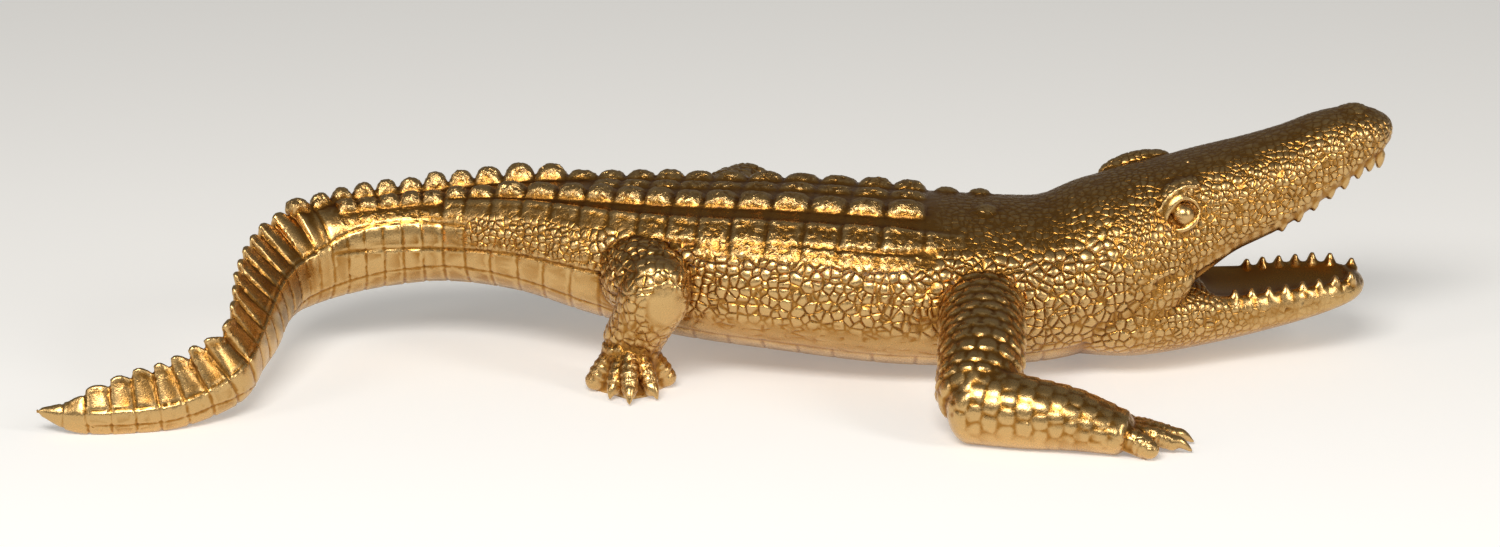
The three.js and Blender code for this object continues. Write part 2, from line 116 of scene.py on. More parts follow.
class Skin:  # a dense grid of points over the sections of a path
    def __init__(self, s, columns, edge=0.0):
        quarter = np.linspace(0, 1, 61)
        for _ in range(2):
            quarter = quarter * quarter * (3 - 2 * quarter)  # crowds points where corners are tight
        turn = np.concatenate([quarter[:-1], 1 + quarter]) * 90  # degrees from the top
        across = np.sin(np.radians(turn))
        rise = np.cos(np.radians(turn))
        upper = rise >= 0
        power = 2 / np.where(upper, s["crown"][:, None], s["keel"][:, None])
        y = s["half"][:, None] * np.abs(across) ** power
        z = np.where(upper, s["up"][:, None], s["down"][:, None]) * np.sign(rise) * np.abs(rise) ** power
        if np.any(edge > 0):  # a rounded edge of real thickness on a sharp crest
            edge = np.broadcast_to(edge, s["up"].shape)[:, None]
            depth = np.clip((s["up"][:, None] - z) / np.maximum(edge, 1e-6), 0, 1)
            y = np.where(upper, np.maximum(y, edge * np.sqrt(1 - (1 - depth) ** 2)), y)
        steps = np.hypot(np.diff(y, axis=1), np.diff(z, axis=1))
        run = np.concatenate([np.zeros((len(y), 1)), np.cumsum(steps, axis=1)], axis=1)
        self.turn, self.run = turn, run
        half = columns // 2
        spaced = np.linspace(0, 1, half + 1)
        rows = []
        for i in range(len(y)):
            place = spaced * run[i, -1]
            rows.append([np.interp(place, run[i], line) for line in (y[i], z[i], turn)] + [place])
        rows = np.array(rows)
        mirror = rows[:, :, 1:-1][:, :, ::-1] * np.array([-1, 1, -1, -1])[None, :, None]
        grid = np.concatenate([rows, mirror], axis=2)  # from the top down the left side and up the right
        self.side, self.height, self.angle, self.arc = (grid[:, k] for k in range(4))
        self.points = (
            s["middle"][:, None]
            + self.side[..., None] * s["left"][:, None]
            + self.height[..., None] * s["top"][:, None]
        )

    def arcAt(self, angle):  # mm down the skin from the top, at an angle for each ring
        angle = np.broadcast_to(angle, (len(self.run),))
        return np.array([np.interp(a, self.turn, r) for a, r in zip(angle, self.run)])

    def raised(self, height):
        lengthwise = np.gradient(self.points, axis=0)
        around = np.roll(self.points, -1, axis=1) - np.roll(self.points, 1, axis=1)
        return self.points + unit(np.cross(lengthwise, around)) * height[..., None]


def gridFaces(rings, columns):
    i, j = np.meshgrid(np.arange(rings - 1), np.arange(columns), indexing="ij")
    k = (j + 1) % columns
    near, far = i * columns, (i + 1) * columns
    return np.stack([near + j, far + j, far + k, near + k], axis=-1).reshape(-1, 4)


pieces = []  # closed shells, each with its points, faces and the marks its skin carries
markNames = ["pebble", "fine", "dash", "wrinkle"]


def addShell(points, faces, marks=None):
    values = np.zeros((len(points), len(markNames)))
    for name, value in (marks or {}).items():
        values[:, markNames.index(name)] = value
    pieces.append((np.asarray(points, float), faces, values))


def addLoft(points, marks=None, ends=None):
    rings, columns = points.shape[:2]
    caps = ends if ends is not None else (points[0].mean(0), points[-1].mean(0))
    flat = np.vstack([points.reshape(-1, 3), caps[0], caps[1]])
    first, last = len(flat) - 2, len(flat) - 1
    start = (rings - 1) * columns
    faces = [list(q) for q in gridFaces(rings, columns)]
    for j in range(columns):
        k = (j + 1) % columns
        faces.append([first, j, k])
        faces.append([last, start + k, start + j])
    spread = {}
    for name, value in (marks or {}).items():
        value = np.broadcast_to(value, (rings, columns))
        spread[name] = np.concatenate([value.reshape(-1), [value[0].mean(), value[-1].mean()]])
    addShell(flat, faces, spread)


def addTube(points, radii, sides=12, marks=None):
    # a round rod through points, with round ends, and marks on its upper side only
    points = np.asarray(points, float)
    radii = np.asarray(radii, float)
    t = np.linspace(0, 1, 6 * len(points))
    line = splineAt(points, t)
    size = np.interp(t, np.linspace(0, 1, len(radii)), radii)
    tangent = unit(np.gradient(line, axis=0))
    aside = unit(np.cross(tangent, up + np.array([0.02, 0.01, 0])))  # leans, so an upright rod works too
    over = np.cross(aside, tangent)
    turn = np.linspace(0, 2 * pi, sides, endpoint=False)
    ring = aside[:, None] * np.cos(turn)[None, :, None] + over[:, None] * np.sin(turn)[None, :, None]
    body = line[:, None] + ring * size[:, None, None]
    caps = []
    for end, sign in ((0, -1), (-1, 1)):
        bulge = [
            line[end] + sign * tangent[end] * size[end] * sin(a) + ring[end] * size[end] * cos(a)
            for a in (0.5, 1.0)
        ]
        caps.append(bulge if sign > 0 else bulge[::-1])
    body = np.concatenate([caps[0], body, caps[1]])
    ends = (line[0] - tangent[0] * size[0], line[-1] + tangent[-1] * size[-1])
    upper = ramp(np.sin(turn), 0.1, 0.45)
    addLoft(body, {name: value * upper for name, value in (marks or {}).items()}, ends)


def addLump(at, size, turn=0, tilt=0, marks=None):  # a rounded lump, tilted nose up and turned about Z
    lift = np.linspace(0, pi, 25)[1:-1]
    around = np.linspace(0, 2 * pi, 40, endpoint=False)
    x, r = np.cos(lift)[:, None], np.sin(lift)[:, None]
    ball = np.stack(np.broadcast_arrays(x, r * np.cos(around), r * np.sin(around)), axis=-1)
    a, b = radians(tilt), radians(turn)
    tilted = np.array([[cos(a), 0, -sin(a)], [0, 1, 0], [sin(a), 0, cos(a)]])
    turned = np.array([[cos(b), -sin(b), 0], [sin(b), cos(b), 0], [0, 0, 1]])
    place = turned @ tilted
    shape = (ball * np.array(size)) @ place.T + np.array(at)
    ends = [np.array(at) + place @ np.array([s * size[0], 0, 0]) for s in (1, -1)]
    addLoft(shape[:, ::-1], marks, ends)


# Trunk, tail, neck and upper jaw

spineStations = [  # x, y, z of the middle; half width, up, down; crown, keel, roll
    (-286, -105, 10.4, 0.8, 1, 1, 1.6, 2, 0),
    (-272, -104.5, 10, 3.5, 4.5, 8.6, 1.2, 2.2, 0),
    (-260, -104, 11, 4.8, 8.5, 11, 1.1, 2.3, 0),
    (-246, -101, 11.4, 6, 12.5, 12, 1, 2.4, 0),
    (-229, -96.5, 13, 7, 13.8, 12.8, 0.95, 2.4, 0),
    (-213, -88, 18.5, 7.2, 14, 14.8, 0.95, 2.4, 2),
    (-205, -79.5, 24.3, 7, 13.5, 17.5, 0.95, 2.4, 4),
    (-202, -67, 29.5, 7.2, 15, 18.5, 0.95, 2.4, 8),
    (-199.5, -48, 35, 8, 17.5, 20, 0.95, 2.4, 16),
    (-197.5, -28, 40.5, 9.2, 17.5, 21, 1, 2.4, 15),
    (-193, -9, 44.8, 11, 17, 23, 1.05, 2.4, 11),
    (-184, 4, 47.3, 13, 17, 24, 1.3, 2.4, 6),
    (-168, 14, 48.8, 15.5, 18, 23.2, 2.2, 2.3, 2),
    (-145, 20, 50, 18.5, 18.6, 21.3, 2.8, 2.2, 0),
    (-118, 21, 50.8, 21.5, 20, 20, 2.8, 2.2, 0),
    (-82, 16, 51.5, 29, 24, 23.5, 2.5, 2.2, 0),
    (-46, 10, 48.5, 39, 29, 29, 2.3, 2.2, 0),
    (-10, 5, 45.5, 46.5, 32.5, 33, 2.2, 2.2, 0),
    (40, -2, 44, 52, 34.5, 36.3, 2.2, 2.2, 0),
    (85, -8, 41.5, 52, 35.5, 37.3, 2.1, 2.2, 0),
    (125, -8, 39.5, 46.5, 36, 36.5, 2, 2.1, 0),
    (152, -6, 42, 42.5, 34.5, 36, 2, 2.1, 0),
    (176, -3, 51, 39, 34.5, 34, 2, 2.2, 0),
    (197, 1, 62, 33, 28.5, 25.5, 2.3, 3, 0),
    (216, 4, 72, 28, 22.5, 22, 2.4, 4, 0),
    (238, 8, 80, 24.5, 19.5, 20, 2.2, 5, 0),
    (257, 12, 88, 21, 16.5, 17.2, 2.1, 5, 0),
    (272, 15, 95, 19, 14.5, 14.2, 2.1, 5, 0),
    (284, 17.3, 99, 16.5, 12, 12, 2, 4, 0),
    (293, 19, 99, 12, 9.5, 10, 2, 3, 0),
    (297.8, 20, 97.5, 5.5, 5, 5.5, 2, 2, 0),
]

trunk = {
    "step": 0.8,  # between sections
    "columns": 340,  # points round each
    # the rings of plates: how long they are at each x, and how far forward they go
    "pitch": [
        (-190, 10), (-175, 9.3), (-150, 9.8), (-120, 11.3), (-95, 13.4),
        (-60, 12.8), (-35, 13.2), (-10, 15.2), (40, 16.1),
    ],
    "ringsTo": 150,
    # blades of the tail; the first and last are places along the spine
    "firstBlade": 26,
    "bladesTo": 184,
    "bladeStand": 5,
    "bladeEdge": 0.9,
    "bladeShape": (
        [-0.5, -0.44, -0.36, -0.22, 0, 0.2, 0.4, 0.5],
        [-0.1, 0.52, 0.9, 1, 0.86, 0.52, 0.06, -0.1],
    ),
    # lines along the body, as angles from the top of the back at places along the spine
    "finBase": ([20, 170, 186, 200, 216, 235, 245, 262], [78, 78, 74, 67, 60, 60, 64, 68]),
    "bellyLine": (
        [20, 73, 83, 94, 120, 150, 190, 219, 257, 288, 311, 340, 380, 460, 560],
        [118, 117, 126, 140, 145, 138, 127, 118, 112, 118, 120, 126, 128, 130, 128],
    ),
    "middleLine": 90,
    "underLines": [148, 166],
    # stretches of the spine
    "lineStart": (14, 24),
    "ridgeFrom": 196,  # the crests of the back begin
    "rootEnd": 262,  # the tail's plates go no further up the side
    "rootSides": (250, 326),  # but on the lower side they do
    "bellyFade": (330, 380),
    "bellyEnd": (520, 560),
    "middleLineOn": (194, 330),
    "underLinesFrom": (190, 250),
    "underLinesTo": (540, 580),
    "tailSideFrom": (14, 30),
    "tailSideTo": (180, 200),
    "seamsFrom": (190, 200),
    # depths of the grooves and the swell of the plates
    "ringGroove": 1.15,
    "lineGroove": 1.0,
    "plateSwell": 0.3,
    # the shield of the back, along x
    "shieldTo": 95,
    "shieldEdge": ([-130, -90, -40, 0], [38, 52, 52, 62]),
    "rootPlates": (-45, -15),  # behind this the outer plates are smooth half moons
}
# Rows of raised scutes. The numbers change along x, and each list gives them at a few places.
# Side 1 is the animal's left, and -1 its right. Both crests rise to paddles at the tail's root.
scuteRows = [
    {
        "from": -62, "to": 88, "sides": (1,), "shape": "mound", "angle": [(0, 0)],
        "high": [(-62, 2.2), (88, 3)], "wide": [(0, 9)],
    },
    {
        "from": -172, "to": 92, "sides": (-1,), "shape": "mound",
        "angle": [(-170, 12), (-100, 14), (-30, 18)],
        "high": [(-172, 3), (-100, 5), (-30, 4.6), (90, 4.6)],
        "wide": [(-170, 10), (-100, 10), (-30, 13)],
    },
    {
        "from": -181, "to": 92, "sides": (1,), "shape": "mound",
        "angle": [(-180, 9), (-100, 15), (-30, 18)],
        "high": [(-181, 6), (-150, 7.5), (-72, 8), (-64, 4.4), (90, 4)],
        "wide": [(-180, 6.5), (-73, 9), (-30, 11.5)],
    },
    {
        "from": -116, "to": 100, "sides": (-1, 1), "shape": "plate",
        "angle": [(-116, 42), (-40, 47), (20, 45), (90, 43)],
        "high": [(-116, 2.2), (-40, 2.6), (0, 3.2), (80, 3.2), (100, 1.4)],
        "wide": [(-116, 13), (20, 15), (80, 15), (100, 9)],
    },
    {
        "from": -8, "to": 84, "sides": (-1, 1), "shape": "plate", "angle": [(0, 60)],
        "high": [(0, 1.7), (70, 1.5), (86, 0.9)], "wide": [(0, 8)],
    },
]
nuchals = [(100, 1, 2.4), (116, 1, 2.6), (117, -1, 1.6)]  # bumps on the neck: x, side, height
nuchal = {"angle": 15.0, "long": 5.5, "wide": 5}

crease = {  # the fold behind each corner of the mouth
    "right": [(226, -22, 53), (212, -24.5, 47.4), (205, -30, 47), (198, -34, 47.5), (192, -37, 46)],
    "middle": 4,  # the y that the left one is mirrored about
    "depth": 1.5,
    "width": 1.2,
    "lip": 0.5,
    "lipPlace": 3,
    "lipWidth": 1.4,
}

eyes = [(204, -27, 74.5), (191, 31, 75.5)]
socket = {"depth": 2.4, "radius": 6.5, "stretch": (1.5, 1, 1)}
upperLip = {"from": (190, 215), "angle": (108, 132), "pitch": 5.2, "depth": 0.6, "width": 0.7}

# where the small relief begins, ends or changes, along x or as angles from the top
region = {
    "neck": (96, 190),
    "neckTop": (40, 60),
    "throat": (100, 150),
    "throatSide": (105, 140),
    "lipSide": (108, 118),
    "muzzleTop": (20, 55),
    "lowFlank": (-50, 100),
    "lowFlankSide": (106, 124),
    "fineHead": (168, 190),
    "fineRoot": (-70, -35),
    "dashSide": (99, 114),
    "dashTo": (100, 140),
}

spine = Path(spineStations)


def ringPlaces():  # the middles of the rings of plates, from the tail tip to the neck
    xs, sizes = zip(*trunk["pitch"])
    places = [trunk["firstBlade"]]
    while places[-1] < spine.alongAt(trunk["ringsTo"]):
        x = float(np.interp(places[-1], spine.run, spine.xs))
        places.append(places[-1] + float(np.interp(x, xs, sizes)))
    return np.array(places)


rings = ringPlaces()


def ringFraction(along):  # -0.5 to 0.5 across each ring, the ring's length and its number
    pitch = np.gradient(rings)
    place = np.interp(along, rings, np.arange(len(rings)))
    place = place + np.minimum(along - rings[0], 0) / pitch[0] + np.maximum(along - rings[-1], 0) / pitch[-1]
    number = np.round(place).astype(int)
    return place - number, np.interp(along, rings, pitch), number


def fromTable(x, table):  # a value that changes along x, from a list of places and values
    places, values = zip(*table)
    return np.interp(x, places, values)


def furrow(distance, width=0.5, lip=0.35):  # a groove with a fine raised lip on both sides
    return -bell(distance, width) + lip * bell(np.abs(distance) - 2.1 * width, 0.7 * width)


def mouthCreases(points):
    total = 0
    for side in (-1, 1):
        shift = crease["middle"] * (1 + side)
        stops = [(x, -side * y + shift, z) for x, y, z in crease["right"]]
        line = splineAt(stops, np.linspace(0, 1, 30))
        away = np.min([np.linalg.norm(points - p, axis=-1) for p in line], axis=0)
        total = total - crease["depth"] * bell(away, crease["width"])
        total = total + crease["lip"] * bell(away - crease["lipPlace"], crease["lipWidth"])
    return total


def nearEyes(points):  # 1 at an eye and 0 away from both
    around = [np.linalg.norm((points - eye) / socket["stretch"], axis=-1) for eye in eyes]
    return np.max([bell(away, socket["radius"]) for away in around], axis=0)


class TrunkGrid:  # the skin of the trunk, and where each of its points lies
    def __init__(self):
        run = np.arange(0, spine.length, trunk["step"])
        self.s = spine.sections(run)
        self.x = self.s["middle"][:, 0]
        part, pitch, self.number = ringFraction(run)
        blades = 1 - ramp(run, trunk["bladesTo"] - 4, trunk["bladesTo"] + 4)
        grow = np.clip(0.5 + (run - trunk["firstBlade"]) / 100, 0, 1) * ramp(run, 12, 24)
        stand = trunk["bladeStand"] * np.interp(part, *trunk["bladeShape"])
        self.s["up"] = self.s["up"] + blades * stand * grow
        self.skin = Skin(self.s, trunk["columns"], edge=trunk["bladeEdge"] * blades)

        self.angle = np.abs(self.skin.angle)
        degrees = np.maximum(np.abs(np.gradient(self.skin.angle, axis=1)), 1e-3)
        self.perDegree = np.clip(np.abs(np.gradient(self.skin.arc, axis=1)) / degrees, 0.05, 3)
        self.along = run[:, None]
        self.part = part[:, None]
        self.ringEdge = (0.5 - np.abs(self.part)) * pitch[:, None]
        self.finBase = np.interp(run, *trunk["finBase"])[:, None]
        self.bellyLine = np.interp(run, *trunk["bellyLine"])[:, None]
        self.shieldEdge = np.interp(self.x, *trunk["shieldEdge"])[:, None]
        self.onTail = 1 - ramp(self.along, trunk["rootEnd"] - 8, trunk["rootEnd"] + 8)
        self.onShield = 1 - ramp(self.x, trunk["shieldTo"] - 2, trunk["shieldTo"] + 3)[:, None]
        self.onRoot = 1 - ramp(self.x, *trunk["rootPlates"])[:, None]
        self.below = ramp(self.angle, self.bellyLine - 1, self.bellyLine + 1)

    def lineAt(self, angle, strength):
        return trunk["lineGroove"] * strength * furrow((self.angle - angle) * self.perDegree)


def plateRelief(grid):  # plates of the tail and belly, with grooves between them
    along, angle = grid.along, grid.angle
    fade = ramp(along, *trunk["bellyFade"])
    beforeEnd = 1 - ramp(along, *trunk["bellyEnd"])
    plated = np.maximum(grid.onTail, grid.below * beforeEnd)
    plated = np.maximum(plated, window(along, *trunk["rootSides"], 6) * ramp(angle, 89, 91))
    aboveFin = 1 - ramp(angle, grid.finBase - 1, grid.finBase + 1)
    plated = plated * (1 - ramp(along, trunk["ridgeFrom"] - 6, trunk["ridgeFrom"] + 6) * aboveFin)
    depth = np.where(grid.onTail > 0.5, 1, 0.75 * (1 - fade) + 0.42 * fade)
    height = trunk["ringGroove"] * plated * depth * furrow(grid.ringEdge)
    swell = 1 - np.clip(np.abs(grid.part) * 2, 0, 1) ** 4
    flatter = 1 - 0.7 * ramp(angle, grid.bellyLine, grid.bellyLine + 15)
    height += trunk["plateSwell"] * plated * depth * swell * flatter

    started = ramp(along, *trunk["lineStart"])
    height += grid.lineAt(grid.finBase, started * grid.onTail)
    height += grid.lineAt(trunk["middleLine"], window(along, *trunk["middleLineOn"], 6))
    height += grid.lineAt(grid.bellyLine, started * (1 - 0.5 * fade) * beforeEnd)
    underside = ramp(along, *trunk["underLinesFrom"]) * (1 - ramp(along, *trunk["underLinesTo"]))
    for under in trunk["underLines"]:
        height += 0.5 * grid.lineAt(under, underside)
    # the tail's side stands a little over its underside
    tailSide = 0.5 * window(angle, grid.finBase, grid.bellyLine, 2)
    height += tailSide * (1 - ramp(along, *trunk["tailSideTo"])) * ramp(along, *trunk["tailSideFrom"])
    # fine seams between the rings of the shield
    onBack = (angle < grid.shieldEdge) * ramp(along, *trunk["seamsFrom"]) * grid.onShield
    return height - 0.22 * bell(grid.ringEdge, 0.6) * onBack


def moundShape(u, v):  # a crest that falls off more steeply on its outer side
    across = 1 - np.clip(np.abs(v), 0, 1) ** np.where(v > 0, 3.4, 2.0)
    return across**0.8 * (1 - np.clip(u, 0, 1) ** 2.6) ** 0.62


def plateShape(u, v, grid, side):  # a flat plate with a ridge near its inner edge and a ragged outer one
    ragged = 0.07 * np.sin(grid.along * 2.1 + side) + 0.06 * np.sin(grid.along * 3.7 + 2 * side)
    t = np.clip((v + 1) / 2, 0, 1)
    across = np.interp(t, [0, 0.1, 0.24, 0.4, 0.86, 1], [0, 0.5, 1, 0.7, 0.62, 0.56])
    across = across * (1 - ramp(v + ragged, 0.86, 1.0))
    across = across * (1 - grid.onRoot * 0.9 * np.clip(t * 1.15 - 0.15, 0, 1))
    return across * (1 - np.clip(u, 0, 1) ** 7) ** 0.6 * (1 - 0.16 * grid.part * 2)


def raiseScutes(grid, height):
    # adds the rows to the height, and gives where they are wrinkled and what they cover
    wrinkle = np.zeros_like(height)
    covered = np.zeros_like(height)
    ringX = np.interp(rings[np.clip(grid.number, 0, len(rings) - 1)], spine.run, spine.xs)
    random = np.random.default_rng(7)
    for row in scuteRows:
        there = (ringX >= row["from"]) & (ringX <= row["to"])
        middleArc = grid.skin.arcAt(fromTable(grid.x, row["angle"]))[:, None]
        high = fromTable(grid.x, row["high"])
        wide = np.minimum(fromTable(grid.x, row["wide"]), grid.s["half"] * 0.62)[:, None]
        for side in row["sides"]:
            size = random.uniform(0.86, 1.12, 200)[grid.number]
            lean = random.uniform(-0.12, 0.12, 200)[grid.number]
            v = (grid.skin.arc * side - middleArc) / (wide / 2)
            u = np.abs(grid.part + lean[:, None] * (0.25 - grid.part**2)) * 2
            isPlate = row["shape"] == "plate"
            mound = plateShape(u, v, grid, side) if isPlate else moundShape(u, v)
            mound = mound * (np.abs(v) < 1.15) * there[:, None]
            raised = height * (1 - np.minimum(mound, 1)) + mound * (high * size)[:, None]
            height = np.maximum(height, raised)
            rough = 0.6 - 0.4 * grid.onRoot if isPlate else 1
            wrinkle = np.maximum(wrinkle, np.minimum(mound * 1.6, 1) * rough)
            covered = np.maximum(covered, np.minimum(mound * 3, 1))
    for at, side, high in nuchals:
        spot = grid.skin.arcAt(nuchal["angle"])[:, None] * side
        away = np.hypot((grid.x[:, None] - at) / nuchal["long"], (grid.skin.arc - spot) / nuchal["wide"])
        height = height + high * np.sqrt(np.clip(1 - away**2, 0, 1))
    return height, wrinkle, covered


def trunkMarks(grid, wrinkle, covered, atEye):
    # how strong each kind of small relief is, which comes after the parts have been joined
    along, angle, x = grid.along, grid.angle, grid.x[:, None]
    muzzle = ramp(x, *upperLip["from"])
    neckTop = window(x, *region["neck"], 8) * (1 - ramp(angle, *region["neckTop"]))
    onBack = (1 - ramp(angle, grid.shieldEdge - 2, grid.shieldEdge + 2)) * grid.onShield
    pebble = (1 - grid.onTail) * (1 - grid.below)
    pebble *= 1 - window(along, *trunk["rootSides"], 6) * ramp(angle, 88, 90)
    pebble *= 1 - onBack
    pebble *= 1 - covered
    pebble *= 1 - 0.55 * ramp(x, *region["throat"]) * ramp(angle, *region["throatSide"])
    pebble *= 1 - muzzle * ramp(angle, *region["lipSide"])
    pebble *= 1 - 0.5 * muzzle * (1 - ramp(angle, *region["muzzleTop"]))
    pebble *= 1 - 0.35 * neckTop
    pebble *= 1 - 0.8 * ramp(angle, *region["lowFlankSide"]) * window(x, *region["lowFlank"], 10)
    pebble *= 1 - 0.9 * atEye
    fine = np.maximum(ramp(x, *region["fineHead"]), 1 - ramp(x, *region["fineRoot"]))
    fine = np.maximum(fine, neckTop)
    onRidge = window(along, trunk["ridgeFrom"], trunk["rootEnd"], 6)
    rough = (1 - ramp(angle, grid.finBase - 8, grid.finBase - 2)) * onRidge
    wrinkle = np.maximum(np.maximum(wrinkle, 0.45 * rough), 0.25 * onBack)
    dash = ramp(angle, *region["dashSide"]) * (1 - ramp(x, *region["dashTo"]))
    return {"pebble": pebble, "fine": fine, "dash": dash, "wrinkle": wrinkle}


def sculptTrunk():
    grid = TrunkGrid()
    height, wrinkle, covered = raiseScutes(grid, plateRelief(grid))
    atEye = nearEyes(grid.skin.points)
    height = height - socket["depth"] * atEye + mouthCreases(grid.skin.points)
    marks = trunkMarks(grid, wrinkle, covered, atEye)
    # short upright creases of the upper lip
    onLip = ramp(grid.x[:, None], *upperLip["from"]) * window(grid.angle, *upperLip["angle"], 4)
    step = ((grid.along / upperLip["pitch"]) % 1 - 0.5) * upperLip["pitch"]
    height = height - upperLip["depth"] * onLip * bell(step, upperLip["width"])
    addLoft(grid.skin.raised(height), marks)
    print("trunk has", grid.skin.points.shape[0], "rings")


sculptTrunk()

# Lower jaw

jawStations = [
    (142, -6, 32, 30, 14, 21, 2, 2, 0),
    (160, -5, 29, 36, 17, 22, 2, 2.1, 0),
    (180, -2, 26, 37.5, 20, 20.5, 2.2, 2.2, 0),
    (200, 1, 25, 33.5, 18, 18.5, 2.6, 2.2, 0),
    (218, 4, 24, 28, 13, 15.3, 4, 2.2, 0),
    (240, 8, 25, 24.5, 10.5, 12.2, 5, 2.2, 0),
    (260, 12, 27, 22.5, 9.5, 9.5, 5, 2.2, 0),
    (276, 15.2, 29.5, 18.5, 7.5, 7.5, 4, 2.2, 0),
    (284, 16.8, 31, 13, 5.5, 6, 3, 2, 0),
    (288.5, 17.7, 32, 5, 2.5, 3, 2, 2, 0),
]
mouth = {"from": 212, "to": 283, "depth": 7.2, "rim": 4.0, "slope": 10}
lowerLip = {"from": (214, 222), "angle": (58, 82), "pitch": 6, "depth": 0.7, "width": 0.75}
jaw = Path(jawStations)


def sculptJaw():
    along = np.arange(0, jaw.length, 0.75)
    s = jaw.sections(along)
    x = s["middle"][:, 0][:, None]
    skin = Skin(s, 240)
    a = np.abs(skin.angle)
    inner = s["half"][:, None] - mouth["rim"]
    across = np.clip(np.abs(skin.side) / np.maximum(inner, 0.1), 0, 1)
    back = np.clip((x - mouth["from"]) / mouth["slope"], 0, 1)
    front = np.clip((mouth["to"] - x) / mouth["slope"], 0, 1)
    ends = np.sqrt(np.clip(1 - (1 - back * front) ** 2, 0, 1))
    onTop = skin.height > 0.55 * s["up"][:, None]
    # the floor of the mouth is a trough inside the rim
    trough = mouth["depth"] * (1 - across**2) * ends * onTop
    skin.points = skin.points - trough[..., None] * up
    # short upright creases of the lower lip
    onLip = window(a, *lowerLip["angle"], 5) * ramp(x, *lowerLip["from"])
    step = ((along[:, None] / lowerLip["pitch"]) % 1 - 0.5) * lowerLip["pitch"]
    height = -lowerLip["depth"] * onLip * bell(step, lowerLip["width"]) + mouthCreases(skin.points)
    forward = ramp(x, 205, 245)
    pebble = (1 - forward) * (1 - ramp(a, 110, 140)) + 0.35 * forward * window(a, 85, 125, 8)
    pebble = pebble * (1 - ramp(x, *lowerLip["from"]) * (1 - ramp(a, 60, 75)))
    addLoft(skin.raised(height), {"pebble": pebble, "fine": ramp(x, 170, 190)})


sculptJaw()

# Limbs

# row and across are a scale's length and width, rise its height, tilt how far its end overlaps the next,
# and round how much of it is edge. Past the angle smoothBelow from the top, and round the spot on the knee,
# the skin is smooth.
armScale = {
    "row": 6.2, "across": 7.4, "rise": 0.9, "tilt": 1.6, "round": 0.36,
    "smoothBelow": 180, "spot": None, "marks": {"wrinkle": 0.08},
}
foreScale = {
    "row": 6.4, "across": 6.4, "rise": 1.1, "tilt": 0.5, "round": 0.34,
    "smoothBelow": 100, "spot": None, "marks": {"wrinkle": 0.08},
}
thighScale = {
    "row": 5.6, "across": 5.0, "rise": 0.5, "tilt": 0.6, "round": 0.4,
    "smoothBelow": 180, "spot": None, "marks": {"pebble": 1},
}
rightShankScale = {
    "row": 5.2, "across": 5.2, "rise": 0.6, "tilt": 0.2, "round": 0.5,
    "smoothBelow": 180, "spot": (-21, -62, 42), "marks": {"pebble": 0.55},
}
leftShankScale = {**rightShankScale, "spot": (20, 76, 45)}
kneeSpot = (9, 9.5, 11)  # half sizes

# each limb's stations, as x, y, z, half width level and half height, and its scales
rightArm = [(113, -30, 42, 17, 15), (115, -60, 39, 18, 15.5), (113.6, -92, 30, 18, 16.4),
            (110.8, -111, 20, 16.8, 16.6)]
rightForearm = [(110.5, -113.5, 16.6, 16.5, 17.2), (130, -119.5, 14.8, 15, 15.3), (150, -123, 12.8, 14, 13),
                (169, -127, 8.8, 12.5, 9.4)]
leftArm = [(112, 18, 42, 17, 15), (106, 44, 39, 18, 15.5), (97, 70, 30, 18, 16.4), (91, 87, 20, 16.8, 16.6)]
leftForearm = [(90.5, 89.5, 16.6, 16.5, 17.2), (106, 98, 14.8, 15, 15.3), (125, 104, 12.8, 14, 13),
               (143, 109, 8.8, 12.5, 9.4)]
rightThigh = [(-35, -18, 46, 17.5, 18), (-29, -36, 47.5, 17, 17), (-25, -45, 48.5, 15.5, 15)]
rightShank = [(-23.5, -50, 54, 12.5, 11), (-25.5, -51, 45, 15, 12.5), (-31.5, -46, 31, 13.2, 11),
              (-36, -42, 21, 12.5, 10)]
leftThigh = [(-2, 24, 49, 19, 21), (8, 48, 53, 18.5, 20.5), (15, 60, 55.5, 16.5, 17)]
leftShank = [(17, 66, 55, 14.5, 11), (15, 65, 45, 16.5, 12.5), (11, 61, 31, 13.5, 11), (9, 58, 21, 12.5, 10)]
limbs = [
    (rightArm, armScale),
    (rightForearm, foreScale),
    (leftArm, armScale),
    (leftForearm, foreScale),
    (rightThigh, thighScale),
    (rightShank, rightShankScale),
    (leftThigh, thighScale),
    (leftShank, leftShankScale),
]


def cellEdge(along, around, turns, seed):
    # how far into its cell a place is, on a staggered lattice whose cells differ a little
    random = np.random.default_rng(seed)
    shift = random.uniform(-0.16, 0.16, (400, 200, 2))
    row = np.floor(along).astype(int)
    best = np.full(along.shape, 9.0)
    second = np.full(along.shape, 9.0)
    for dr in (-1, 0, 1):
        r = row + dr
        offset = 0.5 * (r % 2)
        column = np.round(around - offset).astype(int)
        for dc in (-1, 0, 1):
            c = column + dc
            jitter = shift[(r + 50) % 400, c % turns]
            d = np.hypot(along - r - 0.5 - jitter[..., 0], around - c - offset - jitter[..., 1])
            second = np.minimum(second, np.maximum(best, d))
            best = np.minimum(best, d)
    return second - best, along - row - 0.5


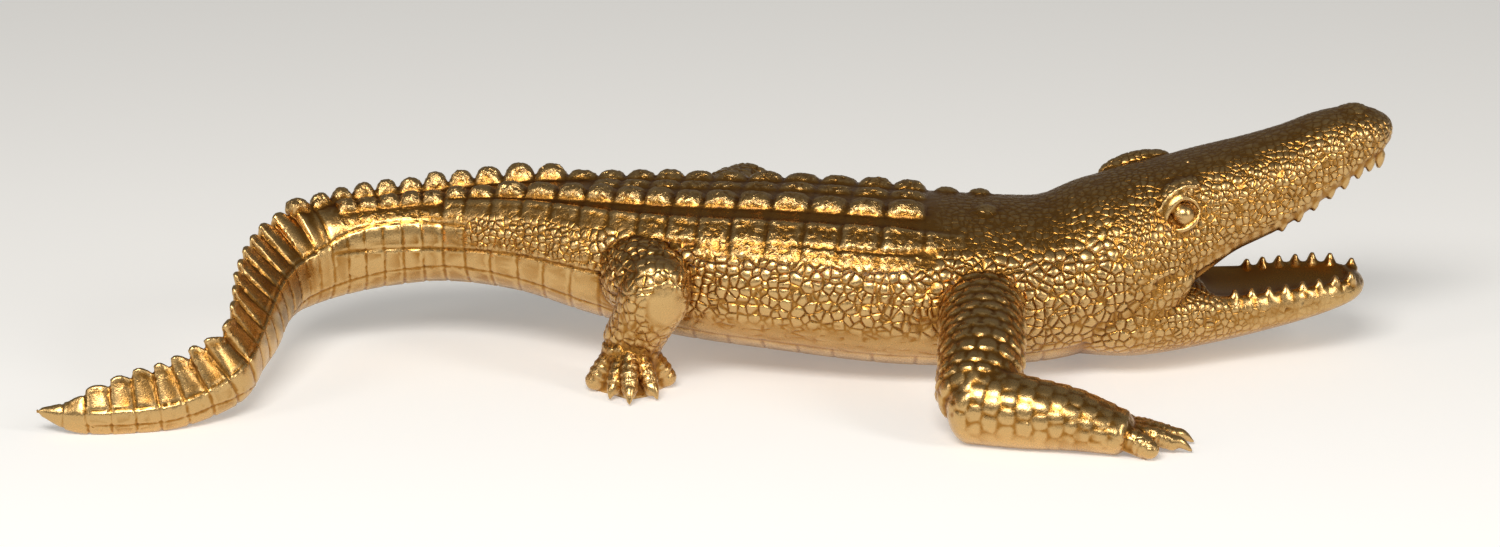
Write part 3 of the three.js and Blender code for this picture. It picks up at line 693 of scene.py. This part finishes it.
def sculptLimb(stations, scale, seed):
    path = Path([(x, y, z, wide, tall, tall, 2, 2, 0) for x, y, z, wide, tall in stations])
    bulge = 0.72  # how far a round end reaches, of the smaller radius
    capRings = 10
    inside = np.linspace(0, path.length, int(path.length / trunk["step"]) + 1)
    s = path.sections(inside)
    last = len(inside) - 1
    order = np.concatenate([np.zeros(capRings, int), np.arange(last + 1), np.full(capRings, last)])
    cap = np.linspace(0.96, 0.06, capRings)
    out = np.concatenate([-cap, np.zeros(len(inside)), cap[::-1]])
    s = {name: value[order] for name, value in s.items()}
    size = np.sqrt(1 - out**2)
    smaller = np.minimum(s["half"], s["up"])
    move = out * bulge * smaller
    s["middle"] = s["middle"] + s["along"] * move[:, None]
    for name in ("half", "up", "down"):
        s[name] = s[name] * size
    skin = Skin(s, 130)
    girth = 2 * pi * float(np.mean(smaller))
    turns = max(6, int(round(girth / scale["across"])))
    along = (inside[order] + move)[:, None] / scale["row"] + np.zeros_like(skin.angle)
    edge, tilt = cellEdge(along, skin.angle / 360 * turns, turns, seed)
    dome = np.sqrt(1 - (1 - np.clip(edge / scale["round"], 0, 1)) ** 2)
    height = dome * (scale["rise"] + scale["tilt"] * (tilt + 0.5))
    height = height - 0.6 * (scale["rise"] + 0.5 * scale["tilt"])  # the scales lie half in the limb
    strength = 1 - 0.85 * ramp(np.abs(skin.angle), scale["smoothBelow"], scale["smoothBelow"] + 20)
    if scale["spot"]:
        away = np.linalg.norm((skin.points - np.array(scale["spot"])) / kneeSpot, axis=-1)
        strength = strength * ramp(away, 0.85, 1.05)
    marks = {name: value * strength for name, value in scale["marks"].items()}
    addLoft(skin.raised(height * strength), marks)


for seed, (stations, scale) in enumerate(limbs, 40):
    sculptLimb(stations, scale, seed)
print("limbs done")

# Feet

# size is the ankle's half width and half depth, web how far the web reaches of each toe, and instep
# the height where the toes leave the foot, at "start" of their length
hand = {"size": (12, 9), "web": 0.6, "instep": 8.5, "start": 0.24}
hind = {"size": (12.3, 9.5), "web": 0.66, "instep": 16.5, "start": 0.34}
# the ankle or wrist, the way the foot points, and each toe's turn from that and its length
feet = [
    {
        **hand, "root": (162, -125, 9.5), "heading": -4,
        "spread": (-29, -3, 14, 32, 54), "long": (27, 36, 38, 33, 26),
    },
    {
        **hand, "root": (136, 107, 9.5), "heading": 22,
        "spread": (-48, -26, -8, 9, 35), "long": (26, 33, 38, 36, 27),
    },
    {
        **hind, "root": (-36.5, -44, 21), "heading": 268,
        "spread": (-78, -25, 2, 36, 100), "long": (18, 18, 23, 20, 18),
    },
    {
        **hind, "root": (9, 60, 21), "heading": 66,
        "spread": (-100, -36, -2, 25, 78), "long": (18, 20, 23, 18, 18),
    },
]
toe = {
    "clawed": (False, True, True, True, False),
    "outerWeb": 0.84,
    "bandLength": 3.2,
    "bandRise": 0.9,
    "radius": 4.2,
    "blunt": 5.2,  # radius of a toe without a claw
    "clawRadii": [3.2, 2.6, 0.75],
}


def addHull(points, marks):
    bm = bmesh.new()
    for p in points:
        bm.verts.new(p)
    bmesh.ops.convex_hull(bm, input=bm.verts)
    loose = [v for v in bm.verts if not v.link_faces]
    bmesh.ops.delete(bm, geom=loose, context="VERTS")
    bm.verts.index_update()
    corners = np.array([v.co for v in bm.verts])
    faces = [[v.index for v in face.verts] for face in bm.faces]
    bm.free()
    addShell(corners, faces, marks)


def sculptFoot(root, size, web, instep, start, heading, spread, long):
    root = np.array(root, float)
    ahead = np.array([cos(radians(heading)), sin(radians(heading)), 0])
    aside = np.array([-ahead[1], ahead[0], 0])
    turns = np.linspace(0, 2 * pi, 16, endpoint=False)
    webbing = [root + aside * size[0] * cos(t) + ahead * size[1] * sin(t) for t in turns]
    for turn, reach, clawed in zip(spread, long, toe["clawed"]):
        angle = radians(heading + turn)
        way = np.array([cos(angle), sin(angle), 0])

        def onGround(part, z):
            return np.array([*(root + way * reach * part)[:2], z])

        webReach = web if clawed else toe["outerWeb"]
        webbing += [onGround(webReach, -0.6), onGround(webReach * 0.86, 5.6 if clawed else 8)]
        knuckle = 0.5 * instep + 3
        stops = [onGround(start, instep), onGround(0.6, knuckle), onGround(0.84 if clawed else 0.88, 4.6)]
        t = np.linspace(0, 1, 60)
        line = splineAt(stops, t)
        band = (t * np.linalg.norm(stops[0] - stops[2]) / toe["bandLength"]) % 1
        full = toe["radius"] if clawed else toe["blunt"]
        radius = full * np.interp(t, [0, 0.4, 0.8, 1], [1, 1, 0.96, 0.84])
        radius = radius + toe["bandRise"] * (band**1.6 - 0.6) * ramp(t, 0.1, 0.25)
        addTube(line[::2], radius[::2], 24, {"wrinkle": 0.3, "pebble": 0.4, "fine": 1})
        if clawed:
            claw = [onGround(0.78, 5.4), onGround(0.93, 4.8), onGround(1.06, 1.5)]
            addTube(claw, toe["clawRadii"], 16)
    addHull(webbing, {"pebble": 0.7, "fine": 0.4, "wrinkle": 0.3})


for foot in feet:
    sculptFoot(**foot)
print("feet done")

# Head: teeth, brows, cheeks, eyes, lids and the bump of the nostrils

upperTeeth = {"path": spine, "start": 240, "end": 292, "rise": -1, "inset": 0.8, "reach": 0.75, "long": 1.5}
lowerTeeth = {"path": jaw, "rise": 1, "inset": 0.82, "reach": 0.7}
toothRows = [
    {**upperTeeth, "side": -1, "count": 8},
    {**upperTeeth, "side": 1, "count": 8},
    {**lowerTeeth, "side": -1, "start": 225, "end": 280, "count": 8, "long": 0.5},
    {**lowerTeeth, "side": 1, "start": 243, "end": 287, "count": 7, "long": 1.1},
]
toothRadii = [3.0, 2.3, 1.35]
eyeRadius = 5.1
boneMarks = {"pebble": 0.8, "fine": 1}
cheekMarks = {"pebble": 0.9, "fine": 0.4}
headLumps = [  # middle, half sizes, turn, tilt, marks: both brows and both cheeks
    ((201, -19, 80), (14, 6.5, 6.5), 14, 25, boneMarks),
    ((187, 22, 82.5), (17, 6.5, 6.5), 6, 12, boneMarks),
    ((184, -29, 34), (30, 10, 11), 7, 30, cheekMarks),
    ((184, 27, 34), (30, 10, 11), 8, 30, cheekMarks),
]
noseLump = ((281, 17, 105.5), (10, 10, 6.5), 12, 12, boneMarks)
lids = {  # places as mm forward of the eye, over it and out from it, and radii
    "upper": (
        [(-14, -4.2, 1.2), (-8, 1.6, 2.4), (-3, 5.4, 3), (2.5, 6.6, 2.8), (6.4, 3.6, 2), (7.2, -1, 0.8)],
        [0.8, 1.3, 1.4, 1.2, 1.0, 0.7],
    ),
    "fold": (
        [(-14.5, -2.4, 1.2), (-8.5, 3.4, 1.8), (-2.5, 7.8, 2.2), (4.5, 9, 1.8)],
        [0.9, 1.4, 1.5, 1.2],
    ),
    "lower": (
        [(-14, -4.2, 1.0), (-7, -5, 1.8), (-1.5, -6.2, 2.4), (3.6, -5.2, 1.8), (7, -1.6, 0.6)],
        [0.7, 1.1, 1.2, 1.1, 0.7],
    ),
}
lidRidge = [(-15.5, -1, 1.6), (-9, 5.2, 2.2), (-2.5, 9.8, 2.4), (5, 10.8, 1.8), (10, 9, 1.2)]


def addTeeth(path, side, start, end, count, rise, inset, reach, long):
    for i, x in enumerate(np.linspace(start, end, count)):
        s = {k: v[0] for k, v in path.sections(np.array([path.alongAt(x)])).items()}
        tall = long * (1.2 if i % 3 == 1 else 0.9)
        height = (s["up"] if rise > 0 else -s["down"]) * reach
        root = s["middle"] + s["left"] * side * s["half"] * inset + s["top"] * height
        tip = root + up * rise * (tall + 3) + s["left"] * side * 0.4
        middle = (root + tip) / 2 + s["left"] * side * 0.5
        addTube([root, middle, tip], toothRadii, 14)


def addEyelids(eye, forward, out, lift=1.0):
    # almond-shaped lids round the ball, drawn out behind it, with a notched ridge over them
    eye = np.array(eye, float)
    forward = unit(np.array(forward, float))
    out = unit(np.array(out, float))
    over = unit(np.cross(out, forward))
    if over[2] < 0:
        over = -over
    forward = unit(np.cross(over, out) * np.sign(np.dot(np.cross(over, out), forward)))

    def at(f, o, push):
        return eye + forward * f + over * o * (lift if o > 0 else 1) + out * push

    for line, radii in lids.values():
        addTube([at(*place) for place in line], radii, 12)
    ridge = splineAt([at(*place) for place in lidRidge], np.linspace(0, 1, 41))
    addTube(ridge, [0.9 + 0.6 * abs(sin(0.7 * k)) for k in range(len(ridge))], 12)


for row in toothRows:
    addTeeth(**row)
for lump in headLumps:
    addLump(*lump)
for eye in eyes:
    addLump(eye, [eyeRadius] * 3)
addLump(*noseLump)
addEyelids(eyes[0], (1, 0.15, 0.42), (-0.05, -1, 0.2))
addEyelids(eyes[1], (1, 0.2, 0.42), (-0.05, 1, 0.2), 0.75)
print("head done")

# Join everything into one skin

join = {
    "voxel": 0.62,  # mm
    "soften": 2,  # rounds of smoothing
    "softenMarks": 3,
    "softenSeams": 60,
    "seamReach": 11,  # mm
    "seams": [  # lines from each corner of the mouth down behind the cheek
        [(204, -32, 44), (186, -38, 31), (158, -40, 19)],
        [(204, 34, 44), (186, 36, 31), (158, 32, 19)],
    ],
    "faces": 198500,
    "carved": 0.75,  # the part of the small relief that is cut in the shape, with the rest left to the bump
}


def vectorsOf(mesh, field):  # the places or the normals of its points
    values = np.zeros(len(mesh.vertices) * 3, np.float32)
    mesh.vertices.foreach_get(field, values)
    return values.reshape(-1, 3).astype(float)


def placePoints(mesh, points):  # lifts points from under the floor, and gives the mesh all of them
    points[:, 2] = np.maximum(points[:, 2], 0)
    mesh.vertices.foreach_set("co", points.astype(np.float32).ravel())


def addObject(name, data):
    made = bpy.data.objects.new(name, data)
    scene.collection.objects.link(made)
    return made


def withModifier(mesh, kind, **settings):
    holder = addObject("holder", mesh)
    modifier = holder.modifiers.new(kind.lower(), kind)
    for name, value in settings.items():
        setattr(modifier, name, value)
    evaluated = holder.evaluated_get(bpy.context.evaluated_depsgraph_get())
    made = bpy.data.meshes.new_from_object(evaluated)
    bpy.data.objects.remove(holder)
    return made


def joinPieces():  # one closed mesh round all the shells, and each of its points' marks
    total, points, faces, marks = 0, [], [], []
    for p, f, m in pieces:
        points.append(p)
        marks.append(m)
        faces += [[k + total for k in face] for face in f]
        total += len(p)
    marks = np.vstack(marks)
    placed = ((np.vstack(points) - boxMiddle) / 1000).tolist()
    print("loose shells hold", total, "points")
    mesh = bpy.data.meshes.new("shells")
    mesh.from_pydata(placed, [], faces)
    mesh = withModifier(mesh, "REMESH", mode="VOXEL", voxel_size=join["voxel"] / 1000)
    print("joined skin has", len(mesh.vertices), "points")
    tree = KDTree(total)
    for k, p in enumerate(placed):
        tree.insert(p, k)
    tree.balance()
    nearest = np.array([tree.find(v.co)[1] for v in mesh.vertices])
    return mesh, marks[nearest]


def edgesOf(mesh):  # the pairs of neighbouring points
    pairs = np.zeros(len(mesh.edges) * 2, np.int32)
    mesh.edges.foreach_get("vertices", pairs)
    return pairs.reshape(-1, 2)


def spreadOut(values, pairs, rounds):  # each value moves to its neighbours' mean
    count = np.bincount(pairs.ravel(), minlength=len(values)).astype(float)[:, None]
    values = values.astype(float)
    for _ in range(rounds):
        total = np.zeros_like(values)
        for k in range(values.shape[1]):
            total[:, k] = np.bincount(pairs[:, 0], values[pairs[:, 1], k], len(values))
            total[:, k] += np.bincount(pairs[:, 1], values[pairs[:, 0], k], len(values))
        values = 0.5 * values + 0.5 * total / np.maximum(count, 1)
    return values


def setMark(mesh, name, values):
    kind, field = ("FLOAT", "value") if values.ndim == 1 else ("FLOAT_VECTOR", "vector")
    mark = mesh.attributes.get(name) or mesh.attributes.new(name, kind, "POINT")
    mark.data.foreach_set(field, np.ascontiguousarray(values, np.float32).ravel())


def nearLine(points, stops, reach):  # 1 on a line through stops and 0 past its reach
    away = np.full(len(points), 99.0)
    for p in splineAt(stops, np.linspace(0, 1, 16)):
        away = np.minimum(away, np.linalg.norm(points * 1000 + boxMiddle - p, axis=1))
    return 1 - ramp(away, 0.4 * reach, reach)


skinMesh, marks = joinPieces()
pairs = edgesOf(skinMesh)
points = spreadOut(vectorsOf(skinMesh, "co"), pairs, join["soften"])
calm = spreadOut(points, pairs, join["softenSeams"])
for seam in join["seams"]:
    points += nearLine(points, seam, join["seamReach"])[:, None] * (calm - points)
placePoints(skinMesh, points)
marks = spreadOut(marks, pairs, join["softenMarks"])
for k, name in enumerate(markNames):
    setMark(skinMesh, name, marks[:, k])
setMark(skinMesh, "drawn", points)  # where each point lay before the relief, for the pattern in the gold


# Nodes, for the sculpting modifier and for the gold

class Wire:  # an output socket that can be used in sums
    def __init__(self, nodes, socket):
        self.nodes, self.socket = nodes, socket

    def math(self, operation, *others):
        return self.nodes.add("ShaderNodeMath", {"operation": operation}, [self, *others])

    def __add__(self, other):
        return self.math("ADD", other)

    def __sub__(self, other):
        return self.math("SUBTRACT", other)

    def __mul__(self, other):
        return self.math("MULTIPLY", other)

    def __truediv__(self, other):
        return self.math("DIVIDE", other)

    def __pow__(self, other):
        return self.math("POWER", other)

    def __rsub__(self, other):
        return self.nodes.add("ShaderNodeMath", {"operation": "SUBTRACT"}, [other, self])

    __radd__ = __add__

    def clamp(self):
        return self.nodes.add("ShaderNodeMath", {"operation": "ADD", "use_clamp": True}, [self, 0])


class Nodes:
    def __init__(self, tree):
        self.tree = tree

    def add(self, kind, settings=None, inputs=None, output=0):
        node = self.tree.nodes.new(kind)
        for name, value in (settings or {}).items():
            setattr(node, name, value)
        inputs = dict(enumerate(inputs)) if isinstance(inputs, (list, tuple)) else inputs or {}
        for name, value in inputs.items():
            if isinstance(value, Wire):
                self.tree.links.new(value.socket, node.inputs[name])
            else:
                node.inputs[name].default_value = value
        return Wire(self, node.outputs[output])


# sizes of the skin's small relief in millimetres, and widths of the grooves as parts of a cell
pebbles = {
    "coarse": 4.4,
    "fine": 3.1,
    "dash": 5,
    "rise": 0.85,
    "fineRise": 0.55,
    "dashRise": 0.5,
    "wrinkleRise": 1.2,
    "groove": 0.2,
    "dashGroove": 0.12,
    "stretch": (0.6, 1, 1.2),  # the dashes lie along the body
    # how fine the noises are, as cells to a metre
    "dashBreaks": 170.0,
    "wrinkles": 330.0,
}


def cells(nodes, place, size, randomness, feature="DISTANCE_TO_EDGE"):
    settings = {"voronoi_dimensions": "3D", "feature": feature}
    inputs = {"Vector": place, "Scale": 1000 / size, "Randomness": randomness}
    return nodes.add("ShaderNodeTexVoronoi", settings, inputs)


def noise(nodes, place, scale, detail, roughness=0.5, distortion=0.0):
    inputs = {"Vector": place, "Scale": scale, "Detail": detail}
    inputs.update({"Roughness": roughness, "Distortion": distortion})
    return nodes.add("ShaderNodeTexNoise", {"noise_dimensions": "3D"}, inputs)


def pebbleHeight(nodes, place, size):
    # flat-topped stones with a groove between them, 0 in the groove and 1 on top
    edge = cells(nodes, place, size, 0.8)
    middle = cells(nodes, place, size, 0.8, "F1")
    stone = 1 - (1 - (edge / pebbles["groove"]).clamp()) ** 2
    return stone * (1 - ((middle - 0.5) / 0.4).clamp() * 0.4)


def skinHeight(nodes, place, pebble, fine, dash, wrinkle):  # the small relief in mm, from its four marks
    coarse = pebbleHeight(nodes, place, pebbles["coarse"]) * pebbles["rise"]
    small = pebbleHeight(nodes, place, pebbles["fine"]) * pebbles["fineRise"]
    settings = {"operation": "MULTIPLY"}
    stretched = nodes.add("ShaderNodeVectorMath", settings, {0: place, 1: pebbles["stretch"]})
    edge = cells(nodes, stretched, pebbles["dash"], 1.0)
    broken = noise(nodes, place, pebbles["dashBreaks"], 2.0)
    # on the lower flank only short pieces of the grooves are cut
    cut = (1 - (edge / pebbles["dashGroove"]).clamp()) * ((broken - 0.5) * 9).clamp()
    dashes = (1 - cut) * pebbles["dashRise"]
    stones = small * fine + coarse * (1 - fine)
    scales = (dashes * dash + stones * (1 - dash)) * pebble
    folds = noise(nodes, place, pebbles["wrinkles"], 3.0, 0.6, 0.8)
    return scales + (folds - 0.5) * wrinkle * 2 * pebbles["wrinkleRise"]


def sculptingNodes():
    tree = bpy.data.node_groups.new("skinRelief", "GeometryNodeTree")
    tree.interface.new_socket("Geometry", in_out="INPUT", socket_type="NodeSocketGeometry")
    tree.interface.new_socket("Geometry", in_out="OUTPUT", socket_type="NodeSocketGeometry")
    nodes = Nodes(tree)
    source = nodes.add("NodeGroupInput")
    place = nodes.add("GeometryNodeInputPosition")
    normal = nodes.add("GeometryNodeInputNormal")
    single = {"data_type": "FLOAT"}
    marks = [nodes.add("GeometryNodeInputNamedAttribute", single, {"Name": name}) for name in markNames]
    height = skinHeight(nodes, place, *marks) * (join["carved"] / 1000)
    move = nodes.add("ShaderNodeVectorMath", {"operation": "SCALE"}, {"Vector": normal, "Scale": height})
    moved = nodes.add("GeometryNodeSetPosition", None, {"Geometry": source, "Offset": move})
    target = tree.nodes.new("NodeGroupOutput")
    tree.links.new(moved.socket, target.inputs[0])
    return tree


skinMesh = withModifier(skinMesh, "NODES", node_group=sculptingNodes())
print("relief raised")

ratio = join["faces"] / (2 * len(skinMesh.polygons))  # each four-sided face makes two triangles
fewer = {"decimate_type": "COLLAPSE", "ratio": min(1, ratio), "use_collapse_triangulate": True}
skinMesh = withModifier(skinMesh, "DECIMATE", **fewer)
placePoints(skinMesh, vectorsOf(skinMesh, "co"))
print("skin has", len(skinMesh.polygons), "faces")


patinaAndShade = {
    "near": (4, 0.3),  # rounds of smoothing, and the depth in mm that counts in full
    "wide": (24, 1.6),
    "mouthFloor": [(228, 5, 31), (250, 10, 31), (276, 15, 33)],  # kept clear of patina and painted shade
    "mouthReach": 18,
    "wideLimit": 0.8,
}


def markHollows(mesh):
    # how far each point lies under its surroundings, for the dark patina and painted shade in the recesses
    pairs = edgesOf(mesh)
    points = vectorsOf(mesh, "co")
    normals = vectorsOf(mesh, "normal")

    def depthUnder(rounds, full):
        return ((spreadOut(points, pairs, rounds) - points) * normals).sum(1) * 1000 / full

    limit = patinaAndShade["wideLimit"]
    hollow = depthUnder(*patinaAndShade["near"]) + np.clip(depthUnder(*patinaAndShade["wide"]), -limit, limit)
    hollow = hollow * (1 - 0.9 * nearLine(points, patinaAndShade["mouthFloor"], patinaAndShade["mouthReach"]))
    setMark(mesh, "hollow", np.clip(0.5 + 0.3 * hollow, 0, 1))


markHollows(skinMesh)
skinMesh.polygons.foreach_set("use_smooth", [True] * len(skinMesh.polygons))
skinMesh.name = "crocodileSkin"
skin = addObject("crocodile_skin", skinMesh)
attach(skin, "root")
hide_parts("crocodile")

# Gold

gold = {
    # recess is the dark patina of the hollows together with painted shade there
    "recess": (0.14, 0.048, 0.007, 1),
    "body": (0.36, 0.168, 0.031, 1),
    # ridge is a painted highlight on raised places
    "ridge": (0.60, 0.385, 0.155, 1),
    "roughness": 0.29,
    "coat": 0.1,
    "coatRoughness": 0.16,
    "bump": 0.5,  # of the small relief's height
    "grain": 0.06,  # mm
    "grainScale": 1600.0,
    "patchScale": 60.0,
    # how hollow the skin is where it turns to dark patina and painted shade or to the painted highlight,
    # from 0 to 1, and how fast it turns
    "patinaAndShadeFrom": 0.57,
    "patinaAndShadeSlope": 2.1,
    "paintedHighlightFrom": 0.48,
    "paintedHighlightSlope": 3.0,
}


def goldPaint():
    material = bpy.data.materials.new("goldFinish")
    material.use_nodes = True
    tree = material.node_tree
    tree.nodes.clear()
    nodes = Nodes(tree)
    place = nodes.add("ShaderNodeAttribute", {"attribute_name": "drawn"}, output="Vector")
    hollow, *marks = [
        nodes.add("ShaderNodeAttribute", {"attribute_name": name}, output="Fac")
        for name in ["hollow"] + markNames
    ]
    height = skinHeight(nodes, place, *marks)
    grain = noise(nodes, place, gold["grainScale"], 2.0)
    patches = noise(nodes, place, gold["patchScale"], 3.0)
    # hollows darken to the recess colour: real patina and painted shade
    patinaAndShadeMask = ((hollow - gold["patinaAndShadeFrom"]) * gold["patinaAndShadeSlope"] + (patches - 0.5) * 0.15).clamp()
    # painted highlight: raised places turn to the lighter ridge colour
    high = ((gold["paintedHighlightFrom"] - hollow) * gold["paintedHighlightSlope"]).clamp()
    mix = {"data_type": "RGBA"}
    base = nodes.add("ShaderNodeMix", mix, {"Factor": high, 6: gold["body"], 7: gold["ridge"]}, 2)
    colour = nodes.add("ShaderNodeMix", mix, {"Factor": patinaAndShadeMask, 6: base, 7: gold["recess"]}, 2)
    rough = (gold["roughness"] + (grain - 0.5) * 0.2 + patinaAndShadeMask * 0.12).clamp()
    bumpHeight = height * gold["bump"] + (grain - 0.5) * gold["grain"]
    bump = nodes.add("ShaderNodeBump", None, {"Strength": 1.0, "Distance": 0.001, "Height": bumpHeight})
    inputs = {"Base Color": colour, "Metallic": 1.0, "Roughness": rough, "Normal": bump}
    inputs.update({"Coat Weight": gold["coat"], "Coat Roughness": gold["coatRoughness"]})
    shader = nodes.add("ShaderNodeBsdfPrincipled", None, inputs)
    output = tree.nodes.new("ShaderNodeOutputMaterial")
    tree.links.new(shader.socket, output.inputs["Surface"])
    return material


skinMesh.materials.clear()
skinMesh.materials.append(goldPaint())
print("gold done")

# Floor, lights and camera

studio = {
    "surround": (0.17, 0.165, 0.152, 1),
    "floor": {
        "Base Color": (0.86, 0.85, 0.83, 1),
        "Roughness": 0.9,
        "Emission Color": (1, 0.99, 0.97, 1),
        "Emission Strength": 0.25,
    },
    "floorHalf": 6,  # metres
    "lights": [  # place, size, watts, colour
        ((-0.25, -1.3, 1.2), (0.9, 0.5), 23, (1, 0.98, 0.95)),
        ((-1.3, -0.9, 0.7), (0.3, 0.7), 3, (1, 0.97, 0.93)),
        ((1.3, -0.9, 0.75), (0.3, 0.7), 8, (1, 0.97, 0.93)),
    ],
    "aim": (0.0, 0.0, 0.04),
}
view = {  # looks level with the length of the animal and down on it
    "aim": (0.00871, 0.00559, 0.0392),
    "distance": 2.0,
    "elevation": 17,
    "focalPixels": 4515,
    "frame": 1500,
}


def addFloor():
    mesh = bpy.data.meshes.new("floor")
    r = studio["floorHalf"]
    mesh.from_pydata([(-r, -r, 0), (r, -r, 0), (r, r, 0), (-r, r, 0)], [], [(0, 1, 2, 3)])
    material = bpy.data.materials.new("paleFloor")
    material.use_nodes = True
    shader = material.node_tree.nodes["Principled BSDF"]
    for name, value in studio["floor"].items():
        shader.inputs[name].default_value = value
    mesh.materials.append(material)
    addObject("floor", mesh)


def addLights():
    for i, (place, size, power, colour) in enumerate(studio["lights"]):
        data = bpy.data.lights.new(f"softbox{i}", "AREA")
        data.shape = "RECTANGLE"
        data.size, data.size_y = size
        data.energy = power
        data.color = colour
        light = addObject(f"softbox{i}", data)
        light.location = place
        aim = Vector(studio["aim"]) - Vector(place)
        light.rotation_mode = "QUATERNION"
        light.rotation_quaternion = aim.to_track_quat("-Z", "Y")
    world = bpy.data.worlds.new("studio")
    world.use_nodes = True
    world.node_tree.nodes["Background"].inputs["Color"].default_value = studio["surround"]
    scene.world = world


def addCamera():
    data = bpy.data.cameras.new("camera")
    data.sensor_width = 36
    data.lens = view["focalPixels"] * data.sensor_width / view["frame"]
    camera = addObject("camera", data)
    e = radians(view["elevation"])
    camera.location = Vector(view["aim"]) + Vector((0, -cos(e), sin(e))) * view["distance"]
    camera.rotation_euler = (pi / 2 - e, 0, 0)
    scene.camera = camera


addFloor()
addLights()
addCamera()
scene.view_settings.view_transform = "Standard"
